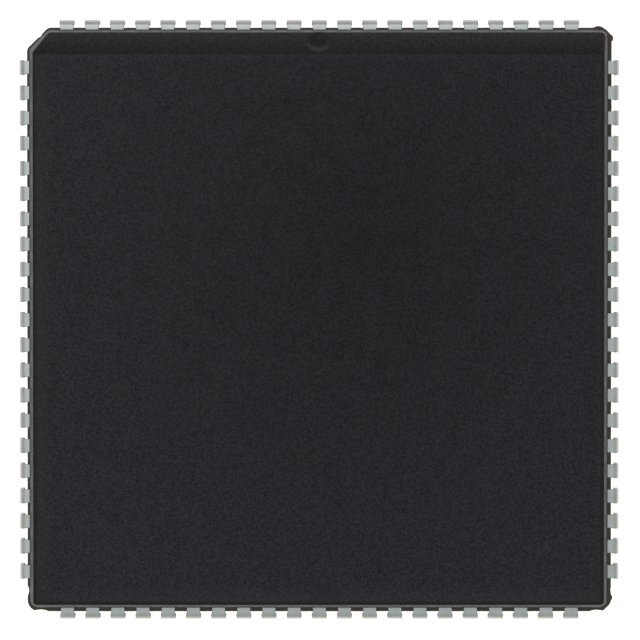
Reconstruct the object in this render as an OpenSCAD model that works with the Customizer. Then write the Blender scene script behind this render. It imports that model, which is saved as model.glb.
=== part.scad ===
// Square plastic chip carrier with J-leads on all four sides.
// Millimetres. Origin at the middle of the seating plane, +Z up, +Y towards the index bevel.

/* [Lead row] */
// Leads along each side
leads_per_side = 21; // [13:1:23]
// Distance from lead to lead
pitch = 1.27; // [1.2:0.01:1.4]
// Distance from the middle of an end lead to the body's corner, along the parting line
row_margin = 1.885; // [1.75:0.005:2.2]

/* [Lead] */
// Thickness of the lead frame
lead_t = 0.22; // [0.18:0.01:0.26]
// Width of a lead at the bend, where the dam bar was cut off
shoulder_w = 0.76; // [0.6:0.01:0.82]
// How much narrower a lead is where it leaves the body
neck_step = 0.08; // [0.04:0.01:0.12]
// Angle from the level at which the bend of a lead steps down to the neck
neck_turn = 62; // [45:1:75]
// Width of a lead at its foot
foot_w = 0.43; // [0.33:0.01:0.53]
// How far the leads stand out from the parting line
lead_reach = 0.515; // [0.46:0.005:0.6]
// Outer radius of the bend at the shoulder
bend_r = 0.35; // [0.3:0.01:0.42]
// Outer radius of the J at the foot
hook_r = 0.9; // [0.75:0.01:1]
// Angle by which the J turns on past its lowest point
hook_turn = 80; // [60:1:88]
// Height at which the wide part of a lead starts to narrow
shoulder_z = 1.5; // [1.25:0.05:1.9]
// Height over which a lead narrows
taper_h = 0.25; // [0.1:0.05:0.4]

/* [Body] */
// Height of the top face above the seating plane
height = 4.4; // [4.2:0.05:4.8]
// Height of the underside above the seating plane
standoff = 0.6; // [0.5:0.05:0.7]
// Height of the parting line, in the middle of the lead frame
parting_z = 2.6; // [2.45:0.05:2.75]
// Draft of the walls, in degrees
draft = 9; // [5:0.5:11]
// Radius of the upright corners at the parting line
corner_r = 0.45; // [0.4:0.05:0.7]
// Leg of the index corner's cut at the parting line
index_cut = 1; // [0.8:0.05:1.3]

/* [Index bevel] */
// Width of the bevel, seen from above
bevel_w = 1.04; // [0.8:0.02:1.3]
// Height of the bevel
bevel_h = 0.6; // [0.4:0.05:0.8]
// Radius of the index dot's rim
dot_r = 0.6; // [0.4:0.01:0.65]
// Depth of the index dot below the bevel
dot_depth = 0.2; // [0.12:0.01:0.38]
// Distance of the index dot's middle from the lower edge of the bevel, seen from above
dot_in = 0.485; // [0.4:0.005:0.5]

/* [Resin fin] */
// Width of the resin fin that stands out between the leads
fin_w = 0.12; // [0.06:0.01:0.2]
// Leg of the fin's cut at the gate corner
gate_cut = 0.38; // [0.3:0.02:0.5]
// Leg of the fin's cut at the corner across from the index corner
trim_cut = 0.42; // [0.3:0.02:0.5]

/* [Underside] */
// Clearance beside a lead's foot in its pocket
pocket_side_gap = 0.14; // [0.08:0.01:0.2]
// Clearance behind a lead's tip in its pocket
pocket_end_gap = 0.2; // [0.1:0.02:0.4]
// Depth of the pockets above the underside
pocket_depth = 0.5; // [0.4:0.05:0.7]
// Radius of the ejector marks
ejector_r = 1.2; // [0.8:0.1:1.8]
// Depth of the ejector marks
ejector_depth = 0.08; // [0.04:0.01:0.15]
// Distance of the ejector marks from the body's middle, along X and along Y
ejector_at = 9.5; // [6:0.5:11]

/* [Lead frame inside] */
// Width of the die paddle
paddle_w = 10; // [9:0.1:11]
// How far the paddle lies below the leads
paddle_drop = 0.3; // [0.24:0.02:0.4]
// Width of the tie bars that hold the paddle
tie_w = 0.4; // [0.25:0.05:0.5]
// Thickness of the resin over the end of a tie bar
tie_cover = 0.2; // [0.1:0.01:0.4]
// Length over which a tie bar drops to the paddle
tie_slope = 0.6; // [0.4:0.05:0.9]
// Distance from the paddle to the tips of the bond fingers
tip_gap = 0.45; // [0.35:0.05:0.8]
// Width of a bond finger's tip
tip_w = 0.26; // [0.18:0.01:0.3]
// Distance from the middle of an end finger's tip to the frame's diagonal, along the side
tip_corner = 0.65; // [0.6:0.05:1]
// How far the fingers run straight into the body before they fan in
straight_in = 0.95; // [0.7:0.05:1]

/* [Die and bonds] */
// Width of the die
die_w = 8; // [6:0.1:8.5]
// Thickness of the die
die_t = 0.4; // [0.25:0.05:0.5]
// Thickness of the die-attach layer
attach_t = 0.03; // [0.02:0.01:0.08]
// How far the die-attach layer shows around the die
attach_lip = 0.06; // [0.02:0.02:0.2]
// Diameter of the bond wires
wire_d = 0.03; // [0.02:0.005:0.05]
// Diameter of the ball bonds
ball_d = 0.09; // [0.07:0.01:0.12]
// Height of the ball bonds
ball_h = 0.03; // [0.02:0.01:0.05]
// Height of the wire loops above the die
loop_h = 0.2; // [0.15:0.01:0.35]
// Distance of the bond pads from the die's edge
pad_in = 0.15; // [0.1:0.01:0.25]
// Distance of the end pads from the die's corner, along the edge
pad_corner = 0.4; // [0.3:0.05:0.8]
// Distance of the wire's second bond from the finger's tip
stitch_in = 0.25; // [0.15:0.05:0.4]

/* [Hidden] */
$fn = 48;

resin = [0.17, 0.17, 0.18];
plating = [0.7, 0.72, 0.7];
frame_metal = [0.72, 0.5, 0.36];
adhesive = [0.62, 0.62, 0.6];
silicon = [0.36, 0.38, 0.45];
gold = [0.86, 0.68, 0.28];

// Turn of each side about +Z, counted from +X
east = 0;
north = 90;
west = 180;
south = 270;

// The wire's and the ball's section
wire_sides = 8;

lead_rows = leads_per_side - 1;
body_half = lead_rows * pitch / 2 + row_margin;
span_half = body_half + lead_reach;
fin_half = body_half + fin_w;
top_inset = (height - parting_z) * tan(draft);
bottom_inset = (parting_z - standoff) * tan(draft);

lead_top = parting_z + lead_t / 2;
lead_bottom = parting_z - lead_t / 2;
paddle_bottom = lead_bottom - paddle_drop;
attach_bottom = paddle_bottom + lead_t;
die_bottom = attach_bottom + attach_t;
die_top = die_bottom + die_t;

bevel_foot_z = height - bevel_h;
bevel_foot = body_half - (bevel_foot_z - parting_z) * tan(draft);
bevel_head = bevel_foot - bevel_w;

// The dot is part of a ball whose middle stands above the bevel
ball_r = (dot_r * dot_r + dot_depth * dot_depth) / (2 * dot_depth);
bevel_tilt = atan2(bevel_h, bevel_w);

// The fin keeps its width along the index corner's slanting cut
fin_index_cut = index_cut + (2 - sqrt(2)) * fin_w;

neck_w = shoulder_w - neck_step;
hook_x = span_half - hook_r;
tip_x = hook_x - hook_r * sin(hook_turn);

// Diagonal distance from the middle to the end of a tie bar at a plain corner and at the index corner
plain_tie_end = (body_half - corner_r) * sqrt(2) + corner_r - tie_cover;
index_tie_end = (2 * body_half - index_cut) / sqrt(2) - tie_cover;

finger_tip = paddle_w / 2 + tip_gap;
finger_knee = body_half - straight_in;
tip_pitch = 2 * (finger_tip - tip_corner) / lead_rows;
pad_pitch = (die_w - 2 * pad_corner) / lead_rows;

// Long enough to cut through or to cover the whole body
reach = 4 * span_half;

// Torn lobes of the fin: side of the corner in X and Y, distance in from it along X and Y, radius
flash_lobes = [
    [1, 1, 0.67, 0.32, 0.4],
    [1, 1, 0.14, 0.54, 0.22],
    [1, -1, 0.17, 0.7, 0.24]
];
// Bites out of the fin, in the same form
flash_bites = [
    [-1, 1, 0.515, 0.265, 0.25],
    [-1, -1, -0.45, 1.05, 0.52],
    [-1, -1, 0.66, -0.83, 0.93],
    [1, -1, 0.72, -0.85, 0.935],
    [1, -1, -0.1, 1.1, 0.13]
];

// Distance of lead i's middle from the middle of its row, for a row of the given pitch
function along(i, step) = (i - lead_rows / 2) * step;

// Part of a flat ring between two angles that are less than 180 degrees apart
module ring_part(outer_r, width, from, to) {
    far = 2 * outer_r;
    middle = (from + to) / 2;
    intersection() {
        difference() {
            circle(outer_r);
            circle(outer_r - width);
        }
        polygon([
            [0, 0],
            far * [cos(from), sin(from)],
            far * [cos(middle), sin(middle)],
            far * [cos(to), sin(to)]
        ]);
    }
}

// Turns a profile drawn in distance and height upright and gives it a width
module upright(width) {
    rotate([90, 0, 0])
        linear_extrude(width, center = true)
            children();
}

// Side view of the part of a lead's bend between two angles from the level
module bend_side(from, to) {
    translate([span_half - bend_r, lead_top - bend_r])
        ring_part(bend_r, lead_t, from, to);
}

// Side view of a formed lead from the cut dam bar to the tip of the J
module lead_side() {
    bend_side(0, neck_turn);
    translate([span_half - lead_t, hook_r])
        square([lead_t, lead_top - bend_r - hook_r]);
    translate([hook_x, hook_r])
        ring_part(hook_r, lead_t, -90 - hook_turn, 0);
}

// Front view of a formed lead, wide at the shoulder and narrow at the foot
module lead_front() {
    narrow_z = shoulder_z - taper_h;
    polygon([
        [-foot_w / 2, -lead_t],
        [foot_w / 2, -lead_t],
        [foot_w / 2, narrow_z],
        [shoulder_w / 2, shoulder_z],
        [shoulder_w / 2, height],
        [-shoulder_w / 2, height],
        [-shoulder_w / 2, shoulder_z],
        [-foot_w / 2, narrow_z]
    ]);
}

module formed_lead(i) {
    translate([0, along(i, pitch), 0]) {
        upright(neck_w) bend_side(neck_turn, 90);
        intersection() {
            upright(shoulder_w) lead_side();
            rotate([0, 0, 90]) upright(reach) lead_front();
        }
    }
}

// Flat part of lead i from the bond finger's tip out to the given distance
module finger(i, out_to) {
    root = along(i, pitch);
    tip = along(i, tip_pitch);
    translate([0, 0, lead_bottom])
        linear_extrude(lead_t)
            polygon([
                [finger_tip, tip - tip_w / 2],
                [finger_knee, root - neck_w / 2],
                [out_to, root - neck_w / 2],
                [out_to, root + neck_w / 2],
                [finger_knee, root + neck_w / 2],
                [finger_tip, tip + tip_w / 2]
            ]);
}

module lead_row(side) {
    rotate([0, 0, side])
        for (i = [0:lead_rows]) {
            formed_lead(i);
            finger(i, span_half - bend_r);
        }
}

// Room that the leads of one side take up in the body
module lead_seats(side) {
    rotate([0, 0, side])
        for (i = [0:lead_rows])
            finger(i, span_half);
}

// Pockets in the underside that the lead tips curl into
module tip_pockets(side) {
    pocket_w = foot_w + 2 * pocket_side_gap;
    pocket_x = tip_x - pocket_end_gap;
    rotate([0, 0, side])
        for (i = [0:lead_rows])
            translate([pocket_x, along(i, pitch) - pocket_w / 2, 0])
                cube([span_half - pocket_x, pocket_w, standoff + pocket_depth]);
}

// Ball bond, neck and sloping run of one wire, before its second bond is trimmed
module wire(i) {
    pad = [die_w / 2 - pad_in, along(i, pad_pitch)];
    stitch_x = finger_tip + stitch_in;
    share = stitch_in / (finger_knee - finger_tip);
    stitch = [stitch_x, along(i, tip_pitch * (1 - share) + pitch * share)];
    run = norm(stitch - pad);
    drop = die_top + loop_h - lead_top;
    dip = atan2(drop, run);
    translate([pad[0], pad[1], die_top])
        rotate([0, 0, atan2(stitch[1] - pad[1], stitch[0] - pad[0])]) {
            cylinder(d = ball_d, h = ball_h, $fn = wire_sides);
            cylinder(d = wire_d, h = loop_h + wire_d / 2, $fn = wire_sides);
            translate([0, 0, loop_h])
                rotate([0, 90 + dip, 0])
                    rotate([0, 0, 180 / wire_sides])
                        cylinder(d = wire_d, h = norm([run, drop]) + wire_d / sin(dip), $fn = wire_sides);
        }
}

module wire_row(side) {
    rotate([0, 0, side])
        difference() {
            for (i = [0:lead_rows])
                wire(i);
            translate([finger_tip, -body_half, lead_bottom])
                cube([body_half - finger_tip, 2 * body_half, lead_t]);
        }
}

// Turned form of a rounded upright corner: its radius shrinks with the draft
module corner_cone() {
    rotate_extrude()
        polygon([
            [0, standoff],
            [corner_r - bottom_inset, standoff],
            [corner_r, parting_z],
            [corner_r - top_inset, height],
            [0, height]
        ]);
}

// What comes off a square corner to round it
module corner_waste(turn) {
    axis = body_half - corner_r;
    rotate([0, 0, turn])
        translate([axis, axis, 0])
            difference() {
                cube([reach, reach, height + standoff]);
                corner_cone();
            }
}

// Drafted section across the body, with plain walls on both sides
module plain_section() {
    polygon([
        [body_half - bottom_inset, standoff],
        [body_half, parting_z],
        [body_half - top_inset, height],
        [top_inset - body_half, height],
        [-body_half, parting_z],
        [bottom_inset - body_half, standoff]
    ]);
}

// Drafted section across the body, with the index bevel on the positive side
module bevel_section() {
    polygon([
        [body_half - bottom_inset, standoff],
        [body_half, parting_z],
        [bevel_foot, bevel_foot_z],
        [bevel_head, height],
        [top_inset - body_half, height],
        [-body_half, parting_z],
        [bottom_inset - body_half, standoff]
    ]);
}

// Drafted section along the diagonal, with the index corner cut off on the positive side
module index_section() {
    cut = (2 * body_half - index_cut) / sqrt(2);
    polygon([
        [cut - bottom_inset, standoff],
        [cut, parting_z],
        [cut - top_inset, height],
        [-reach, height],
        [-reach, standoff]
    ]);
}

module moulded_block() {
    difference() {
        intersection() {
            upright(reach) plain_section();
            rotate([0, 0, north]) upright(reach) bevel_section();
            rotate([0, 0, (north + west) / 2]) upright(reach) index_section();
        }
        for (turn = [east, west, south])
            corner_waste(turn);
    }
}

// Disc near a corner of the fin, given as in the lists of lobes and bites
module fin_disc(disc) {
    translate([disc[0] * (fin_half - disc[2]), disc[1] * (fin_half - disc[3])])
        circle(disc[4]);
}

// What comes off a corner of the fin to cut it at a slant
module fin_corner_cut(side_x, side_y, leg) {
    translate([side_x * fin_half, side_y * fin_half])
        rotate(45)
            square(leg * sqrt(2), center = true);
}

// What comes off the fin's plain corner to round it
module fin_corner_round() {
    fin_r = corner_r + fin_w;
    translate([fin_r - fin_half, fin_r - fin_half])
        difference() {
            translate([-2 * fin_r, -2 * fin_r])
                square(2 * fin_r);
            circle(fin_r);
        }
}

// Outline of the resin fin at the height of the leads
module fin_outline() {
    difference() {
        union() {
            square(2 * fin_half, center = true);
            for (lobe = flash_lobes)
                fin_disc(lobe);
        }
        fin_corner_cut(-1, 1, fin_index_cut);
        fin_corner_cut(1, 1, gate_cut);
        fin_corner_cut(1, -1, trim_cut);
        fin_corner_round();
        for (bite = flash_bites)
            fin_disc(bite);
    }
}

module fin() {
    translate([0, 0, lead_bottom])
        linear_extrude(lead_t)
            fin_outline();
}

module index_dot() {
    translate([0, bevel_foot - dot_in, bevel_foot_z + dot_in * tan(bevel_tilt)])
        rotate([-bevel_tilt, 0, 0])
            translate([0, 0, ball_r - dot_depth])
                sphere(ball_r);
}

module ejector_marks() {
    for (x = [-ejector_at, ejector_at], y = [-ejector_at, ejector_at])
        translate([x, y, 0])
            cylinder(r = ejector_r, h = standoff + ejector_depth);
}

// Side view of a tie bar along the diagonal, from the paddle up to the leads and out to its end
module tie_side(end) {
    inner = paddle_w / sqrt(2) - tie_w;
    slope_start = paddle_w / sqrt(2);
    slope_end = slope_start + tie_slope;
    polygon([
        [inner, paddle_bottom],
        [slope_start, paddle_bottom],
        [slope_end, lead_bottom],
        [end, lead_bottom],
        [end, lead_top],
        [slope_end, lead_top],
        [slope_start, attach_bottom],
        [inner, attach_bottom]
    ]);
}

module centred_plate(width, thickness, bottom) {
    translate([-width / 2, -width / 2, bottom])
        cube([width, width, thickness]);
}

module paddle_and_ties() {
    centred_plate(paddle_w, lead_t, paddle_bottom);
    for (side = [east, north, west, south])
        rotate([0, 0, side + 45])
            upright(tie_w) tie_side(side == north ? index_tie_end : plain_tie_end);
}

module attach_layer() {
    centred_plate(die_w + 2 * attach_lip, attach_t, attach_bottom);
}

module die_block() {
    centred_plate(die_w, die_t, die_bottom);
}

module mould_body() {
    color(resin)
        difference() {
            union() {
                moulded_block();
                fin();
            }
            index_dot();
            ejector_marks();
            for (side = [east, north, west, south]) {
                tip_pockets(side);
                lead_seats(side);
                wire_row(side);
            }
            paddle_and_ties();
            attach_layer();
            die_block();
        }
}

module leads_north() {
    color(plating) lead_row(north);
}

module leads_west() {
    color(plating) lead_row(west);
}

module leads_south() {
    color(plating) lead_row(south);
}

module leads_east() {
    color(plating) lead_row(east);
}

module die_paddle() {
    color(frame_metal) paddle_and_ties();
}

module die_attach() {
    color(adhesive) attach_layer();
}

module die() {
    color(silicon) die_block();
}

module bond_wires_north() {
    color(gold) wire_row(north);
}

module bond_wires_west() {
    color(gold) wire_row(west);
}

module bond_wires_south() {
    color(gold) wire_row(south);
}

module bond_wires_east() {
    color(gold) wire_row(east);
}

mould_body();
leads_north();
leads_west();
leads_south();
leads_east();
die_paddle();
die_attach();
die();
bond_wires_north();
bond_wires_west();
bond_wires_south();
bond_wires_east();
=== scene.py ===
"""Looks of a plastic chip carrier with J-leads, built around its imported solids. Metres, +Z up."""
import math
import random

import bmesh
import bpy
from mathutils import Matrix, Vector


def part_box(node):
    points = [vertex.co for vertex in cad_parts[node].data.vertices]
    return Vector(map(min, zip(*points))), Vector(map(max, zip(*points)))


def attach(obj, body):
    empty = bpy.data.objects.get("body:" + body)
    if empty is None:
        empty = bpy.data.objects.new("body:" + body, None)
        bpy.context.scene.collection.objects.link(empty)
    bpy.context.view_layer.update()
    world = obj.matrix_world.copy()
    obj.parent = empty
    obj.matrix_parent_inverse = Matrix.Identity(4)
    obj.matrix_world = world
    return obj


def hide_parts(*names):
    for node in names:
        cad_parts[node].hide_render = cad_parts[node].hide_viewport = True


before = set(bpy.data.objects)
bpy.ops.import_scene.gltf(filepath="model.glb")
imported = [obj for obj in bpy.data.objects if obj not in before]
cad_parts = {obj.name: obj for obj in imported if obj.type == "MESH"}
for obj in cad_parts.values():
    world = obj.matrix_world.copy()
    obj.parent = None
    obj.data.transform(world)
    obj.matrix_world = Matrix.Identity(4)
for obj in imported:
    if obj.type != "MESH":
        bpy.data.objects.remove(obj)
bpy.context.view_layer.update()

MM = 0.001

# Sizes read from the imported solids
BODY_LOW, BODY_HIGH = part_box("mould_body")
LEADS_LOW, LEADS_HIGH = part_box("leads_east")
TOP = BODY_HIGH.z
STANDOFF = BODY_LOW.z
SPAN_HALF = LEADS_HIGH.x
LEAD_TOP = LEADS_HIGH.z
FINGER_TIP = LEADS_LOW.x

# Lead row
LEADS_PER_SIDE = 21
PITCH = 1.27 * MM
ROW_MARGIN = 1.885 * MM
BODY_HALF = (LEADS_PER_SIDE - 1) * PITCH / 2 + ROW_MARGIN

# Lead
LEAD_T = 0.22 * MM
SHOULDER_W = 0.76 * MM
NECK_W = 0.68 * MM
NECK_TURN = math.radians(62)
NECK_EASE = math.radians(10)
FOOT_W = 0.43 * MM
BEND_R = 0.35 * MM
HOOK_R = 0.9 * MM
HOOK_TURN = math.radians(80)
SHOULDER_Z = 1.5 * MM
TAPER_H = 0.25 * MM
TIP_W = 0.26 * MM
TIP_CORNER = 0.65 * MM
STRAIGHT_IN = 0.95 * MM
LEAD_EDGE_R = 0.035 * MM
LEAD_LEAN = 0.012 * MM
BEND_STEPS = 18
HOOK_STEPS = 24
LEAD_EDGE_STEPS = 3
PARTING_Z = LEAD_TOP - LEAD_T / 2

# Body
DRAFT = math.radians(9)
CORNER_R = 0.45 * MM
CORNER_STEPS = 8
SLANT_R = 0.25 * MM
EDGE_R = 0.045 * MM
EDGE_STEPS = 4
INDEX_CUT = 1.0 * MM
BEVEL_W = 1.04 * MM
BEVEL_H = 0.6 * MM
BEVEL_FOOT = BODY_HALF - (TOP - BEVEL_H - PARTING_Z) * math.tan(DRAFT)
BEVEL_HEAD = BEVEL_FOOT - BEVEL_W
WALL_TOP = BODY_HALF - (TOP - PARTING_Z) * math.tan(DRAFT)
BEVEL_TILT = math.atan2(BEVEL_H, BEVEL_W)
DOT_R = 0.6 * MM
DOT_DEPTH = 0.2 * MM
DOT_IN = 0.485 * MM
BALL_R = (DOT_R ** 2 + DOT_DEPTH ** 2) / (2 * DOT_DEPTH)
BALL_SEGMENTS = 64

# The mould's upper half sat a little off its lower half
MOULD_SHIFT = Vector((-0.035, 0.045, 0)) * MM
DOT_PLACE = MOULD_SHIFT + Vector((0, BEVEL_FOOT - DOT_IN, TOP - BEVEL_H + DOT_IN * BEVEL_H / BEVEL_W))

# Top face seen from above: its middle and half sizes, and the spot where its painted shade is darkest,
# with the reach of that shade
TOP_MIDDLE = MOULD_SHIFT + Vector((0, (BEVEL_HEAD - WALL_TOP) / 2, 0))
TOP_HALF = Vector((WALL_TOP, (BEVEL_HEAD + WALL_TOP) / 2, 0))
SHADE_SPOT = MOULD_SHIFT + Vector((2.5 * MM, 4.5 * MM, TOP))
SHADE_REACH = 21 * MM

# Painted light makes it paler along its west and south edges, and its rim line is narrowest along the
# bevel
EDGE_LIGHT_SHIFT = Vector((0.25, 0.25, 0)) * MM
EDGE_LIGHT_SPAN = (-0.75 * MM, 0.1 * MM)
RIM_STRETCH = Vector((0, 0.05, 0)) * MM
RIM_SPAN = (-0.21 * MM, -0.13 * MM)

# Resin fin, a hair thinner than the leads so that their faces stay clear of each other
FIN_W = 0.12 * MM
FIN_T = LEAD_T - 0.02 * MM
FIN_HALF = BODY_HALF + FIN_W
FIN_WAVE = 0.008 * MM
FIN_STEP = 0.15 * MM
FIN_DISC_SEGMENTS = 24
FIN_SEED = 11
GATE_CUT = 0.38 * MM
TRIM_CUT = 0.42 * MM
TRIMMED_R = 0.4 * MM
FIN_INDEX_CUT = INDEX_CUT + (2 - math.sqrt(2)) * FIN_W

# Underside
POCKET_SIDE_GAP = 0.14 * MM
POCKET_END_GAP = 0.2 * MM
POCKET_DEPTH = 0.5 * MM
EJECTOR_R = 1.2 * MM
EJECTOR_DEPTH = 0.08 * MM
EJECTOR_AT = 9.5 * MM
EJECTOR_SEGMENTS = 64

# Lobes and bites of the torn fin: corner side in X and Y, then millimetres in along X and Y, and radius
FLASH_LOBES = [
    (1, 1, 0.67, 0.32, 0.4),
    (1, 1, 0.14, 0.54, 0.22),
    (1, -1, 0.17, 0.7, 0.24),
]
FLASH_BITES = [
    (-1, 1, 0.515, 0.265, 0.25),
    (-1, -1, -0.45, 1.05, 0.52),
    (-1, -1, 0.66, -0.83, 0.93),
    (1, -1, 0.72, -0.85, 0.935),
    (1, -1, -0.1, 1.1, 0.13),
]

# Points of a mesh that lie closer together than this are one point
WELD_GAP = 0.0001 * MM

# Edges that turn by more than this many degrees look sharp
BODY_SHARP = 30
LEAD_SHARP = 12

# Resin: features per metre of its patches and grain, depth of the grain, and range of its roughness
RESIN_PATCHES = 700
RESIN_GRAIN = 11500
RESIN_GRAIN_DEPTH = 0.006 * MM
RESIN_ROUGHNESS = (0.49, 0.57)
RESIN_SPECULAR = 0.25

# Where the resin changes: upward share of a level face's normal, distance from the middle of the
# index dot, and distance from the parting line. The dot has a share of the roughness around it.
LEVEL_SPAN = (0.97, 0.99)
DOT_SPAN = (0.6 * DOT_R, DOT_R)
FIN_SPAN = (FIN_T / 2 + 0.01 * MM, FIN_T / 2 + 0.03 * MM)
DOT_ROUGHNESS_SHARE = 0.6

# Plating: the same, with the upward share of the normal over which the painted shade of faces turning
# away from upward gives way to the colour of faces that look up
PLATING_PATCHES = 2500
PLATING_GRAIN = 15000
PLATING_GRAIN_DEPTH = 0.004 * MM
PLATING_ROUGHNESS = (0.34, 0.46)
PLATING_SHADE_SPAN = (0.75, 0.97)

# Stage
FLOOR_HALF = 1.5
FLOOR_GLOW = 0.9
SKY_COLOUR = (0.97, 1.0, 1.0, 1)
SKY_STRENGTH = 0.48

# Range that most of a noise's values lie in, and a narrower one for a stronger grain
NOISE_SPAN = (0.3, 0.7)
GRAIN_SPAN = (0.38, 0.62)

SIDES = {"east": 0, "north": 90, "west": 180, "south": 270}


def new_object(name, bm):
    """A mesh object made from bm, which is freed."""
    bmesh.ops.recalc_face_normals(bm, faces=bm.faces[:])
    mesh = bpy.data.meshes.new(name)
    bm.to_mesh(mesh)
    bm.free()
    obj = bpy.data.objects.new(name, mesh)
    bpy.context.scene.collection.objects.link(obj)
    return obj


def combine(target, tool, operation):
    """Joins tool, whose parts may overlap, to target or cuts it away, and deletes tool."""
    modifier = target.modifiers.new("combine", "BOOLEAN")
    modifier.operation = operation
    modifier.solver = "EXACT"
    modifier.use_self = True
    modifier.object = tool
    graph = bpy.context.evaluated_depsgraph_get()
    mesh = bpy.data.meshes.new_from_object(target.evaluated_get(graph))
    target.modifiers.remove(modifier)
    old = target.data
    target.data = mesh
    bpy.data.meshes.remove(old)
    tool_mesh = tool.data
    bpy.data.objects.remove(tool)
    bpy.data.meshes.remove(tool_mesh)


def weld(obj):
    """Joins the points that cuts and joins left a hair apart, so that no face is without area."""
    bm = bmesh.new()
    bm.from_mesh(obj.data)
    bmesh.ops.remove_doubles(bm, verts=bm.verts[:], dist=WELD_GAP)
    bm.to_mesh(obj.data)
    bm.free()


def add_block(bm, low, high, turn):
    """A block between two corners, turned about +Z by turn degrees."""
    size = Vector(high) - Vector(low)
    middle = (Vector(high) + Vector(low)) / 2
    matrix = (
        Matrix.Rotation(math.radians(turn), 4, "Z")
        @ Matrix.Translation(middle)
        @ Matrix.Diagonal((*size, 1))
    )
    bmesh.ops.create_cube(bm, size=1, matrix=matrix)


def add_round_block(bm, centre, low_z, high_z, radius, segments):
    """A round block that stands upright on centre."""
    matrix = Matrix.Translation((centre[0], centre[1], (low_z + high_z) / 2))
    bmesh.ops.create_cone(
        bm,
        cap_ends=True,
        segments=segments,
        radius1=radius,
        radius2=radius,
        depth=high_z - low_z,
        matrix=matrix,
    )


def add_prism(bm, outline, low, high):
    """An upright block with the given outline."""
    rings = [[bm.verts.new((p.x, p.y, z)) for p in outline] for z in (low, high)]
    add_loft(bm, rings)


def add_loft(bm, rings):
    """Closed skin through rings of vertices that have the same count of points."""
    count = len(rings[0])
    for first, second in zip(rings, rings[1:]):
        for k in range(count):
            n = (k + 1) % count
            bm.faces.new((first[k], first[n], second[n], second[k]))
    bm.faces.new(rings[0])
    bm.faces.new(reversed(rings[-1]))


def rounded(corners, radii):
    """The outline through corners, counter-clockwise, each rounded by its own radius."""
    outline = []
    for k, here in enumerate(corners):
        back = (corners[k - 1] - here).normalized()
        ahead = (corners[(k + 1) % len(corners)] - here).normalized()
        half_angle = back.angle(ahead) / 2
        middle = here + (back + ahead).normalized() * radii[k] / math.sin(half_angle)
        start = here + back * radii[k] / math.tan(half_angle) - middle
        sweep = math.pi - 2 * half_angle
        for step in range(CORNER_STEPS + 1):
            outline.append(middle + Matrix.Rotation(sweep * step / CORNER_STEPS, 2) @ start)
    return outline


def soft_min(a, b, width):
    """The lesser of two lengths, with a rounded change from one to the other."""
    overlap = max(width - abs(a - b), 0) / width
    return min(a, b) - overlap ** 2 * width / 4


def wall_inset(z):
    """How far a drafted wall stands in from the parting line, with its ends rounded."""
    inset = abs(z - PARTING_Z) * math.tan(DRAFT)
    into_edge = max(EDGE_R - min(TOP - z, z - STANDOFF), 0)
    return inset + EDGE_R - math.sqrt(max(EDGE_R ** 2 - into_edge ** 2, 0))


def body_outline(z):
    """Outline of the body at height z, without the fin and unshifted."""
    inset = wall_inset(z)
    half = BODY_HALF - inset
    north = soft_min(half, BEVEL_HEAD + (TOP - z) * BEVEL_W / BEVEL_H, EDGE_R)
    slant = 2 * BODY_HALF - INDEX_CUT - math.sqrt(2) * inset
    slant_x = max(north - slant, EDGE_R - half)
    slant_y = min(slant - half, north - EDGE_R)
    corners = [(half, -half), (half, north), (slant_x, north), (-half, slant_y), (-half, -half)]
    plain_r = CORNER_R - inset
    slant_r = min(SLANT_R, north - slant_y)
    return rounded([Vector(c) for c in corners], [plain_r, plain_r, slant_r, slant_r, plain_r])


def body_levels():
    """Heights of the body's outlines, close together where its edges are rounded."""
    edge = [EDGE_R * (1 - math.cos(math.pi / 2 * k / EDGE_STEPS)) for k in range(EDGE_STEPS + 1)]
    foot = [EDGE_R * (k / EDGE_STEPS - 1) for k in range(2 * EDGE_STEPS + 1)]
    levels = [STANDOFF + e for e in edge]
    levels += [PARTING_Z - FIN_T / 4, PARTING_Z + FIN_T / 4]
    levels += [TOP - BEVEL_H + f for f in foot]
    levels += [TOP - e for e in reversed(edge)]
    return levels


def wavy(outline, rng):
    """The outline with its long stretches broken up, wavering inwards as a trimmed edge does."""
    points = []
    for here, ahead in zip(outline, outline[1:] + outline[:1]):
        run = ahead - here
        count = max(1, int(run.length / FIN_STEP))
        inward = Vector((-run.y, run.x)).normalized()
        points.append(here)
        for k in range(1, count):
            points.append(here + run * k / count + inward * rng.uniform(0, FIN_WAVE))
    return points


def add_fin_disc(bm, disc, low, high):
    """An upright disc near a corner of the fin, given as in the lists of lobes and bites."""
    side_x, side_y, in_x, in_y, radius = disc
    centre = (side_x * (FIN_HALF - in_x * MM), side_y * (FIN_HALF - in_y * MM))
    add_round_block(bm, centre, low, high, radius * MM, FIN_DISC_SEGMENTS)


def fin_outline():
    """Outline of the fin with its trimmed corners, before it is torn."""
    half = FIN_HALF
    corners = [
        (half - TRIM_CUT, -half),
        (half, TRIM_CUT - half),
        (half, half - GATE_CUT),
        (half - GATE_CUT, half),
        (FIN_INDEX_CUT - half, half),
        (-half, half - FIN_INDEX_CUT),
        (-half, -half),
    ]
    radii = [TRIMMED_R] * (len(corners) - 1) + [CORNER_R + FIN_W]
    return rounded([Vector(c) for c in corners], radii)


def make_fin():
    """The thin fin of resin at lead level, with its torn corners."""
    low = PARTING_Z - FIN_T / 2
    high = PARTING_Z + FIN_T / 2
    bm = bmesh.new()
    add_prism(bm, wavy(fin_outline(), random.Random(FIN_SEED)), low, high)
    fin = new_object("fin", bm)
    lobes = bmesh.new()
    for disc in FLASH_LOBES:
        add_fin_disc(lobes, disc, low, high)
    combine(fin, new_object("lobes", lobes), "UNION")
    bites = bmesh.new()
    for disc in FLASH_BITES:
        add_fin_disc(bites, disc, low - FIN_T, high + FIN_T)
    combine(fin, new_object("bites", bites), "DIFFERENCE")
    return fin


def lead_places():
    """Distance of each lead's middle from the middle of its row."""
    return [(i - (LEADS_PER_SIDE - 1) / 2) * PITCH for i in range(LEADS_PER_SIDE)]


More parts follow.
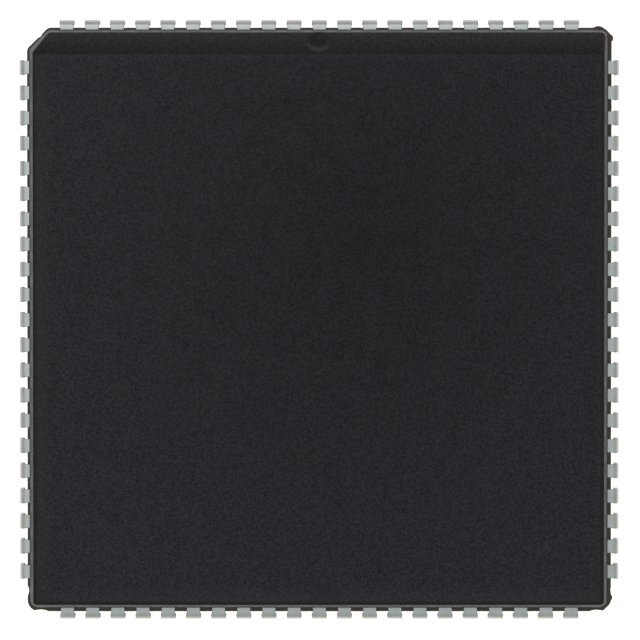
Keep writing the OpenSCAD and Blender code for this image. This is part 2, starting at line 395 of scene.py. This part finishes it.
def body_cuts():
    """Everything that is taken out of the moulded body where it shows."""
    bm = bmesh.new()
    half_w = FOOT_W / 2 + POCKET_SIDE_GAP
    inner = SPAN_HALF - HOOK_R - HOOK_R * math.sin(HOOK_TURN) - POCKET_END_GAP
    for turn in SIDES.values():
        for y in lead_places():
            add_block(bm, (inner, y - half_w, 0), (SPAN_HALF, y + half_w, STANDOFF + POCKET_DEPTH), turn)
    for x in (-EJECTOR_AT, EJECTOR_AT):
        for y in (-EJECTOR_AT, EJECTOR_AT):
            add_round_block(bm, (x, y), 0, STANDOFF + EJECTOR_DEPTH, EJECTOR_R, EJECTOR_SEGMENTS)
    away = Vector((0, math.sin(BEVEL_TILT), math.cos(BEVEL_TILT)))
    ball = Matrix.Translation(DOT_PLACE + away * (BALL_R - DOT_DEPTH))
    bmesh.ops.create_uvsphere(
        bm,
        u_segments=BALL_SEGMENTS,
        v_segments=BALL_SEGMENTS // 2,
        radius=BALL_R,
        matrix=ball,
    )
    return new_object("body_cuts", bm)


def make_body():
    bm = bmesh.new()
    rings = []
    for z in body_levels():
        shift = MOULD_SHIFT if z > PARTING_Z else Vector()
        rings.append([bm.verts.new(p.to_3d() + shift + Vector((0, 0, z))) for p in body_outline(z)])
    add_loft(bm, rings)
    body = new_object("body", bm)
    combine(body, make_fin(), "UNION")
    combine(body, body_cuts(), "DIFFERENCE")
    weld(body)
    return body


def lead_stations(y):
    """Stations along one lead, from the bond finger to the tip of the J.

    Each is the place of the strip's middle, as distance, offset along the row and height, the angle
    of the outer face's normal above the level, and the strip's width.
    """
    share = y / ((LEADS_PER_SIDE - 1) / 2 * PITCH)
    tip_y = share * (FINGER_TIP - TIP_CORNER)
    up = math.pi / 2
    stations = [
        (FINGER_TIP, tip_y, PARTING_Z, up, TIP_W),
        (BODY_HALF - STRAIGHT_IN, y, PARTING_Z, up, NECK_W),
    ]
    bend_x = SPAN_HALF - BEND_R
    bend_z = LEAD_TOP - BEND_R
    for k in range(BEND_STEPS + 1):
        angle = up * (1 - k / BEND_STEPS)
        r = BEND_R - LEAD_T / 2
        x = bend_x + r * math.cos(angle)
        z = bend_z + r * math.sin(angle)
        widening = (NECK_TURN + NECK_EASE - angle) / (2 * NECK_EASE)
        width = NECK_W + (SHOULDER_W - NECK_W) * min(max(widening, 0), 1)
        stations.append((x, y, z, angle, width))
    leg_x = SPAN_HALF - LEAD_T / 2
    stations.append((leg_x, y, SHOULDER_Z, 0, SHOULDER_W))
    stations.append((leg_x, y, SHOULDER_Z - TAPER_H, 0, FOOT_W))
    hook_x = SPAN_HALF - HOOK_R
    for k in range(HOOK_STEPS + 1):
        angle = -(up + HOOK_TURN) * k / HOOK_STEPS
        r = HOOK_R - LEAD_T / 2
        x = hook_x + r * math.cos(angle)
        z = HOOK_R + r * math.sin(angle)
        stations.append((x, y, z, angle, FOOT_W))
    return stations


def strip_section(width):
    """Outline of the strip across its length: offsets along the row and along the outer normal."""
    points = []
    for turn, side_y, side_n in ((0, 1, 1), (90, -1, 1), (180, -1, -1), (270, 1, -1)):
        for k in range(LEAD_EDGE_STEPS + 1):
            angle = math.radians(turn + 90 * k / LEAD_EDGE_STEPS)
            a = side_y * (width / 2 - LEAD_EDGE_R) + LEAD_EDGE_R * math.cos(angle)
            b = side_n * (LEAD_T / 2 - LEAD_EDGE_R) + LEAD_EDGE_R * math.sin(angle)
            points.append((a, b))
    return points


def add_lead(bm, y, lean, rotation):
    rings = []
    for x, offset, z, angle, width in lead_stations(y):
        drift = lean * (1 - z / LEAD_TOP)
        ring = []
        for a, b in strip_section(width):
            place = Vector((x + b * math.cos(angle), offset + drift + a, z + b * math.sin(angle)))
            ring.append(bm.verts.new(rotation @ place))
        rings.append(ring)
    add_loft(bm, rings)


def make_lead_row(name, turn):
    rng = random.Random(turn)
    rotation = Matrix.Rotation(math.radians(turn), 3, "Z")
    bm = bmesh.new()
    for y in lead_places():
        add_lead(bm, y, rng.uniform(-LEAD_LEAN, LEAD_LEAN), rotation)
    return new_object(name, bm)


def smooth(obj, sharp_deg):
    """Smooth shading that leaves edges above the angle sharp."""
    for polygon in obj.data.polygons:
        polygon.use_smooth = True
    obj.data.set_sharp_from_angle(angle=math.radians(sharp_deg))


class Finish:
    """A node material under construction."""

    def __init__(self, name, metallic):
        self.material = bpy.data.materials.new(name)
        self.material.use_nodes = True
        self.shader = self.material.node_tree.nodes["Principled BSDF"]
        self.shader.inputs["Metallic"].default_value = metallic
        self.place = self.node("ShaderNodeTexCoord").outputs["Object"]

    def node(self, kind):
        return self.material.node_tree.nodes.new(kind)

    def link(self, output, socket):
        self.material.node_tree.links.new(output, socket)

    def noise(self, scale, detail):
        """Noise in the part's own coordinates, with features about 1 / scale metres across."""
        node = self.node("ShaderNodeTexNoise")
        node.inputs["Scale"].default_value = scale
        node.inputs["Detail"].default_value = detail
        self.link(self.place, node.inputs["Vector"])
        return node.outputs["Fac"]

    def fit(self, value, span, to):
        """value taken from one range to another and held inside it."""
        node = self.node("ShaderNodeMapRange")
        node.inputs["From Min"].default_value = span[0]
        node.inputs["From Max"].default_value = span[1]
        node.inputs["To Min"].default_value = to[0]
        node.inputs["To Max"].default_value = to[1]
        self.link(value, node.inputs["Value"])
        return node.outputs["Result"]

    def tint(self, value, low, high, span=NOISE_SPAN):
        """A colour from low to high that follows a noise."""
        node = self.node("ShaderNodeValToRGB")
        for element, position, colour in zip(node.color_ramp.elements, span, (low, high)):
            element.position = position
            element.color = (*colour, 1)
        self.link(value, node.inputs["Fac"])
        return node.outputs["Color"]

    def blend(self, share, first, second):
        """Two colours mixed by the share of the second."""
        node = self.node("ShaderNodeMix")
        node.data_type = "RGBA"
        self.link(share, node.inputs["Factor"])
        self.link(first, node.inputs["A"])
        self.link(second, node.inputs["B"])
        return node.outputs["Result"]

    def facing_up(self, span):
        """0 to 1 over a span of upward shares of the surface's normal."""
        split = self.node("ShaderNodeSeparateXYZ")
        self.link(self.node("ShaderNodeNewGeometry").outputs["True Normal"], split.inputs["Vector"])
        return self.fit(split.outputs["Z"], span, (0, 1))

    def vector_step(self, operation, vector, value=None):
        """A vector taken through one operation, with value as its second operand."""
        node = self.node("ShaderNodeVectorMath")
        node.operation = operation
        self.link(vector, node.inputs[0])
        if value is not None:
            node.inputs[1].default_value = value
        return node.outputs

    def beyond(self, middle, half, span):
        """0 to 1 over a span of distances outside a rectangle, seen from above and negative inside."""
        offset = self.vector_step("SUBTRACT", self.place, middle)["Vector"]
        size = self.vector_step("ABSOLUTE", offset)["Vector"]
        split = self.node("ShaderNodeSeparateXYZ")
        self.link(self.vector_step("SUBTRACT", size, half)["Vector"], split.inputs["Vector"])
        greater = self.node("ShaderNodeMath")
        greater.operation = "MAXIMUM"
        self.link(split.outputs["X"], greater.inputs[0])
        self.link(split.outputs["Y"], greater.inputs[1])
        return self.fit(greater.outputs["Value"], span, (0, 1))

    def off_level(self, z, span):
        """0 to 1 over a span of distances above or below a level."""
        offset = self.vector_step("SUBTRACT", self.place, (0, 0, z))["Vector"]
        split = self.node("ShaderNodeSeparateXYZ")
        self.link(self.vector_step("ABSOLUTE", offset)["Vector"], split.inputs["Vector"])
        return self.fit(split.outputs["Z"], span, (0, 1))

    def product(self, first, second):
        node = self.node("ShaderNodeMath")
        node.operation = "MULTIPLY"
        self.link(first, node.inputs[0])
        self.link(second, node.inputs[1])
        return node.outputs["Value"]

    def away_from(self, point, span):
        """0 to 1 over a span of distances from a point."""
        return self.fit(self.vector_step("DISTANCE", self.place, point)["Value"], span, (0, 1))

    def bump(self, height, distance):
        node = self.node("ShaderNodeBump")
        node.inputs["Distance"].default_value = distance
        self.link(height, node.inputs["Height"])
        self.link(node.outputs["Normal"], self.shader.inputs["Normal"])

    def paint(self, colour, roughness):
        self.link(colour, self.shader.inputs["Base Color"])
        self.link(roughness, self.shader.inputs["Roughness"])


def resin_top(finish, grain, painted_shade):
    """Colour of the top face: bluish, with painted shade darkest round a spot and painted light along
    its west and south edges, its rim brown and along the bevel painted shade.
    """
    # Shaded and lit copies of the bluish top resin, blended below as painted shade
    shaded_top = finish.tint(grain, (0.0000, 0.0004, 0.0024), (0.0162, 0.0164, 0.0230), GRAIN_SPAN)
    lit_top = finish.tint(grain, (0.0112, 0.0110, 0.0162), (0.0382, 0.0376, 0.0460), GRAIN_SPAN)
    edge_light = finish.tint(grain, (0.0206, 0.0200, 0.0226), (0.0410, 0.0400, 0.0440), GRAIN_SPAN)
    brown = finish.tint(grain, (0.0140, 0.0112, 0.0085), (0.0210, 0.0176, 0.0143), GRAIN_SPAN)
    rim_middle = TOP_MIDDLE + RIM_STRETCH
    rim_half = TOP_HALF + RIM_STRETCH
    rim = finish.beyond(rim_middle, rim_half, RIM_SPAN)
    # Painted shade: along the bevel the rim takes the near-black shade tint instead of brown
    bevel_rim_shade = finish.beyond(
        rim_middle - Vector((0, BODY_HALF, 0)),
        rim_half + Vector((BODY_HALF, BODY_HALF, 0)),
        RIM_SPAN,
    )
    # Painted shade: the top is darkest round a spot and paler further away
    face = finish.blend(finish.away_from(SHADE_SPOT, (0, SHADE_REACH)), shaded_top, lit_top)
    # Painted light: the top is paler along its west and south edges
    face = finish.blend(finish.beyond(TOP_MIDDLE + EDGE_LIGHT_SHIFT, TOP_HALF, EDGE_LIGHT_SPAN), face, edge_light)
    return finish.blend(rim, face, finish.blend(bevel_rim_shade, brown, painted_shade))


def resin_sides(finish, grain, painted_shade, outside_dot):
    """Colour of walls and bevel: painted shade next to the top face, fading to a paler brown further
    out, and dark in the index dot.
    """
    outer_brown = finish.tint(grain, (0.0140, 0.0112, 0.0098), (0.0474, 0.0414, 0.0388), GRAIN_SPAN)
    pressed = finish.tint(grain, (0.0090, 0.0078, 0.0074), (0.0150, 0.0130, 0.0124), GRAIN_SPAN)
    # Painted shade: next to the top face the walls and bevel take the near-black shade tint, paler brown
    # further out
    shade_by_top = finish.blend(finish.beyond(TOP_MIDDLE, TOP_HALF, (0, BEVEL_W)), painted_shade, outer_brown)
    return finish.blend(outside_dot, pressed, shade_by_top)


def resin_material():
    """Black moulding resin, grained all over, and brown in the thin fin."""
    finish = Finish("resin", 0)
    patches = finish.noise(RESIN_PATCHES, 5)
    grain = finish.noise(RESIN_GRAIN, 2)
    # Painted shade: a near-black tint used beside the top face, on the bevel, the walls and the rim by
    # the bevel
    painted_shade = finish.tint(grain, (0.0000, 0.0000, 0.0000), (0.0165, 0.0138, 0.0130), GRAIN_SPAN)
    fin = finish.tint(patches, (0.092, 0.076, 0.057), (0.127, 0.106, 0.080))
    outside_dot = finish.away_from(DOT_PLACE, DOT_SPAN)
    top = resin_top(finish, grain, painted_shade)
    sides = resin_sides(finish, grain, painted_shade, outside_dot)
    off_fin = finish.off_level(PARTING_Z, FIN_SPAN)
    body = finish.blend(finish.facing_up(LEVEL_SPAN), sides, top)
    gloss = finish.fit(outside_dot, (0, 1), (DOT_ROUGHNESS_SHARE, 1))
    roughness = finish.product(gloss, finish.fit(patches, NOISE_SPAN, RESIN_ROUGHNESS))
    finish.paint(finish.blend(off_fin, fin, body), roughness)
    finish.shader.inputs["Specular IOR Level"].default_value = RESIN_SPECULAR
    finish.bump(grain, RESIN_GRAIN_DEPTH)
    return finish.material


def plating_material():
    """Satin tin plating, with painted shade, darker and warmer, where its faces turn away from upward,
    as in the bends and legs.
    """
    finish = Finish("plating", 1)
    patches = finish.noise(PLATING_PATCHES, 4)
    up_plating = finish.tint(patches, (0.60, 0.65, 0.64), (0.70, 0.75, 0.74))
    # Painted shade: a darker, warmer copy of the plating for faces that turn away from upward
    shaded_plating = finish.tint(patches, (0.43, 0.415, 0.385), (0.52, 0.50, 0.465))
    finish.paint(
        finish.blend(finish.facing_up(PLATING_SHADE_SPAN), shaded_plating, up_plating),
        finish.fit(patches, NOISE_SPAN, PLATING_ROUGHNESS),
    )
    finish.bump(finish.noise(PLATING_GRAIN, 3), PLATING_GRAIN_DEPTH)
    return finish.material


def plain_finish(name, metallic, colours, roughness, patch_scale, grain_scale, grain_depth):
    """A material whose colour and roughness drift in patches, with a fine grain."""
    finish = Finish(name, metallic)
    patches = finish.noise(patch_scale, 4)
    finish.paint(finish.tint(patches, *colours), finish.fit(patches, NOISE_SPAN, roughness))
    finish.bump(finish.noise(grain_scale, 3), grain_depth)
    return finish


def frame_metal_material():
    colours = ((0.66, 0.42, 0.28), (0.75, 0.50, 0.35))
    return plain_finish(
        "frame_metal",
        metallic=1,
        colours=colours,
        roughness=(0.30, 0.42),
        patch_scale=2000,
        grain_scale=9000,
        grain_depth=0.002 * MM,
    ).material


def adhesive_material():
    colours = ((0.50, 0.50, 0.48), (0.60, 0.60, 0.58))
    return plain_finish(
        "adhesive",
        metallic=0,
        colours=colours,
        roughness=(0.60, 0.75),
        patch_scale=2500,
        grain_scale=8000,
        grain_depth=0.005 * MM,
    ).material


def silicon_material():
    colours = ((0.20, 0.22, 0.27), (0.30, 0.32, 0.38))
    return plain_finish(
        "silicon",
        metallic=1,
        colours=colours,
        roughness=(0.12, 0.20),
        patch_scale=1500,
        grain_scale=6000,
        grain_depth=0.001 * MM,
    ).material


def gold_material():
    colours = ((0.85, 0.60, 0.20), (0.95, 0.70, 0.28))
    return plain_finish(
        "gold",
        metallic=1,
        colours=colours,
        roughness=(0.18, 0.28),
        patch_scale=9000,
        grain_scale=30000,
        grain_depth=0.001 * MM,
    ).material


def floor_material():
    """A pale sheet that gives off light."""
    colours = ((0.78, 0.78, 0.78), (0.80, 0.80, 0.80))
    finish = plain_finish(
        "floor",
        metallic=0,
        colours=colours,
        roughness=(0.70, 0.80),
        patch_scale=60,
        grain_scale=900,
        grain_depth=0.01 * MM,
    )
    finish.shader.inputs["Emission Color"].default_value = (1, 1, 1, 1)
    finish.shader.inputs["Emission Strength"].default_value = FLOOR_GLOW
    return finish.material


def make_floor(material):
    bm = bmesh.new()
    bmesh.ops.create_grid(bm, x_segments=1, y_segments=1, size=FLOOR_HALF)
    floor = new_object("floor", bm)
    floor.data.materials.append(material)


def make_camera():
    """A camera that looks down from a little north of the part's middle."""
    view_width = 32.24 * MM
    target = Vector((0.035 * MM, -0.01 * MM, PARTING_Z))
    stand = Vector((0, 7.5, 280)) * MM
    camera = bpy.data.objects.new("camera", bpy.data.cameras.new("camera"))
    bpy.context.scene.collection.objects.link(camera)
    camera.data.lens = camera.data.sensor_width * stand.length / view_width
    camera.data.clip_start = 10 * MM
    camera.data.clip_end = 10
    camera.location = target + stand
    camera.rotation_euler.x = -math.atan2(stand.y, stand.z)
    bpy.context.scene.camera = camera


def make_light(name, place, size, power):
    """A square soft light that faces the part; place and size are in millimetres."""
    light = bpy.data.objects.new(name, bpy.data.lights.new(name, "AREA"))
    bpy.context.scene.collection.objects.link(light)
    light.data.size = size * MM
    light.data.energy = power
    light.location = Vector(place) * MM
    light.rotation_euler = light.location.to_track_quat("Z", "Y").to_euler()


def make_lights():
    """Even light from all round and a large soft light above the index side, to the left."""
    world = bpy.data.worlds.new("tent")
    world.use_nodes = True
    background = world.node_tree.nodes["Background"]
    background.inputs["Color"].default_value = SKY_COLOUR
    background.inputs["Strength"].default_value = SKY_STRENGTH
    bpy.context.scene.world = world
    bpy.context.scene.view_settings.view_transform = "Standard"
    make_light("soft_light", place=(-80, 160, 590), size=340, power=0.33)


def dress():
    plating = plating_material()
    body = make_body()
    smooth(body, BODY_SHARP)
    body.data.materials.clear()
    body.data.materials.append(resin_material())
    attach(body, "root")
    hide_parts("mould_body")
    for side, turn in SIDES.items():
        node = "leads_" + side
        row = make_lead_row("j_" + node, turn)
        smooth(row, LEAD_SHARP)
        row.data.materials.append(plating)
        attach(row, "root")
        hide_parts(node)


def dress_inside():
    """Materials of the solids inside the body, which stay as they are."""
    gold = gold_material()
    inside = {
        "die_paddle": frame_metal_material(),
        "die_attach": adhesive_material(),
        "die": silicon_material(),
    }
    for side in SIDES:
        inside["bond_wires_" + side] = gold
    for node, material in inside.items():
        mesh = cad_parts[node].data
        mesh.materials.clear()
        mesh.materials.append(material)


make_camera()
make_lights()
make_floor(floor_material())
dress()
dress_inside()
